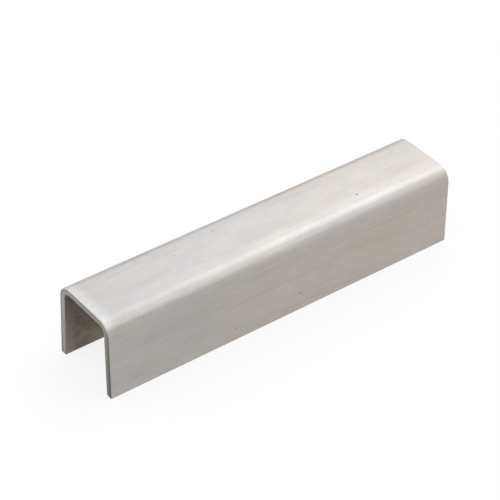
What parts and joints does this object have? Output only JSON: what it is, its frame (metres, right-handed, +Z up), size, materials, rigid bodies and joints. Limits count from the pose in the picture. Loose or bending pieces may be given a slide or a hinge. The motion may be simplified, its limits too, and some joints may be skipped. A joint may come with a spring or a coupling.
{
  "type": "stainless steel cap rail",
  "caption": "Length of satin stainless steel channel, open at the bottom, with rounded bends along its top; it caps the top edge of a glass balustrade panel.",
  "frame": {"origin": "on the floor under the middle of the web, halfway along the length", "axes": "+X along the rail's length, +Y from the front leg to the back leg, +Z up from the feet of the legs to the web"},
  "size_m": [0.1524, 0.0312, 0.032],
  "materials": {
    "satin_stainless": "satin, belt-ground along the length"
  },
  "bodies": {
    "root": {"cap_rail": "satin_stainless"}
  },
  "joints": []
}
